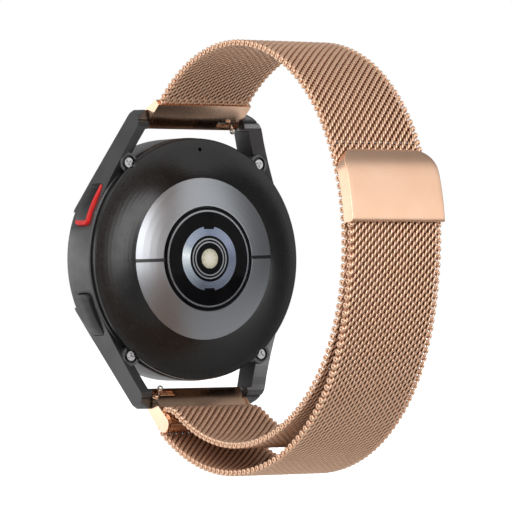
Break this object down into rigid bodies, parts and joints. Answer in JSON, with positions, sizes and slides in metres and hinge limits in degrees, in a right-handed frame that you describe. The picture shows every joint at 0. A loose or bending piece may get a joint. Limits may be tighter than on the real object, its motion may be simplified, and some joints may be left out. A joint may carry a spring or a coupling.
{
  "type": "smartwatch",
  "caption": "Round black smartwatch on a rose gold woven metal loop band with a magnetic clasp, two side keys and a domed rear sensor.",
  "frame": {"origin": "middle of the wrist opening, on the case axis, 30 mm behind the rear rim of the case", "axes": "+X to 3 o'clock, where the keys are; +Y from the display into the wrist; +Z to 12 o'clock"},
  "size_m": [0.043, 0.0704, 0.0747],
  "materials": {
    "case_black": "satin anodised aluminium",
    "cover_black": "satin black",
    "display_glass": "polished",
    "adhesive": "matte",
    "display": "gloss",
    "flex_copper": "matte",
    "frame_plastic": "matte",
    "screw_steel": "machined",
    "cell_foil": "satin foil",
    "board_green": "solder mask",
    "can_tin": "tinned",
    "module_dark": "matte",
    "chip": "gloss",
    "membrane": "matte",
    "coil_copper": "lacquered wire",
    "dome_black": "gloss",
    "electrode_metal": "dark metallic coat",
    "window_glass": "polished black glass",
    "trim_metal": "satin",
    "detector_metal": "polished",
    "lens": "gloss",
    "key_black": "satin",
    "key_red": "satin",
    "rose_gold": "polished rose gold",
    "rose_mesh": "woven rose gold wire",
    "pin_steel": "polished",
    "magnet": "nickel plate"
  },
  "bodies": {
    "case": {"case_frame": "case_black", "front_glass": "display_glass", "glass_adhesive": "adhesive", "display_panel": "display", "display_flex": "flex_copper", "inner_frame": "frame_plastic", "frame_screws": "screw_steel", "battery": "cell_foil", "battery_lead": "flex_copper", "main_board": "board_green", "shield_cans": "can_tin", "speaker": "module_dark", "haptic_motor": "can_tin", "microphone": "chip", "key_board": "flex_copper", "key_switches": "chip", "key_seals": "adhesive", "rear_cover": "cover_black", "rear_gasket": "adhesive", "rear_screws": "screw_steel", "pressure_membrane": "membrane", "charging_coil": "coil_copper", "coil_ferrite": "module_dark", "sensor_board": "board_green", "sensor_chips": "chip", "electrode_base": "dome_black", "electrode_upper": "electrode_metal", "electrode_lower": "electrode_metal", "sensor_window": "window_glass", "window_trim": "trim_metal", "detector_ring": "detector_metal", "light_barriers": "trim_metal", "led_lens": "lens"},
    "home_key": {"home_key": "key_black", "home_accent": "key_red", "home_clip": "screw_steel"},
    "back_key": {"back_key": "key_black", "back_clip": "screw_steel"},
    "strap_upper": {"upper_connector": "rose_gold", "upper_bar_tube": "pin_steel", "upper_bar_spring": "pin_steel", "mesh_upper": "rose_mesh"},
    "upper_release": {"upper_release": "pin_steel"},
    "strap_far": {"mesh_far_inner": "rose_mesh", "mesh_far_outer": "rose_mesh"},
    "clasp": {"clasp_cover": "rose_gold", "clasp_plate": "rose_gold", "clasp_magnets": "magnet"},
    "strap_lower": {"mesh_lower": "rose_mesh", "mesh_return": "rose_mesh", "lower_buckle": "rose_gold", "fold_bar": "rose_gold", "lower_bar_tube": "pin_steel", "lower_bar_spring": "pin_steel"},
    "lower_release": {"lower_release": "pin_steel"}
  },
  "joints": [
    {"name": "home_press", "type": "slide", "parent": "case", "child": "home_key", "axis": [-0.8942, 0, -0.4478], "range_m": [0, 0.00035], "stiffness_N_per_m": 4000},
    {"name": "back_press", "type": "slide", "parent": "case", "child": "back_key", "axis": [-0.8942, 0, 0.4478], "range_m": [0, 0.00035], "stiffness_N_per_m": 4000},
    {"name": "strap_swing", "type": "hinge", "parent": "case", "child": "strap_upper", "pos_m": [0, -0.0313, 0.0249], "axis": [1, 0, 0], "range_deg": [-8, 8]},
    {"name": "far_bend", "type": "hinge", "parent": "strap_upper", "child": "strap_far", "pos_m": [0, 0.0199, 0.0249], "axis": [1, 0, 0], "range_deg": [-8, 8]},
    {"name": "lower_bend", "type": "hinge", "parent": "strap_far", "child": "strap_lower", "pos_m": [0, 0.0199, -0.0249], "axis": [1, 0, 0], "range_deg": [-8, 8]},
    {"name": "clasp_lift", "type": "hinge", "parent": "strap_far", "child": "clasp", "pos_m": [0, 0.0305, 0.0049], "axis": [-1, 0, 0], "range_deg": [0, 40]},
    {"name": "upper_release_slide", "type": "slide", "parent": "strap_upper", "child": "upper_release", "axis": [1, 0, 0], "range_m": [0, 0.0016], "stiffness_N_per_m": 1500, "deforming": ["upper_bar_spring"]},
    {"name": "lower_release_slide", "type": "slide", "parent": "strap_lower", "child": "lower_release", "axis": [-1, 0, 0], "range_m": [0, 0.0016], "stiffness_N_per_m": 1500, "deforming": ["lower_bar_spring"]}
  ],
  "couplings": [
    {"joint": "far_bend", "follows": "strap_swing", "ratio": -1},
    {"joint": "lower_bend", "follows": "strap_swing", "ratio": 1}
  ]
}
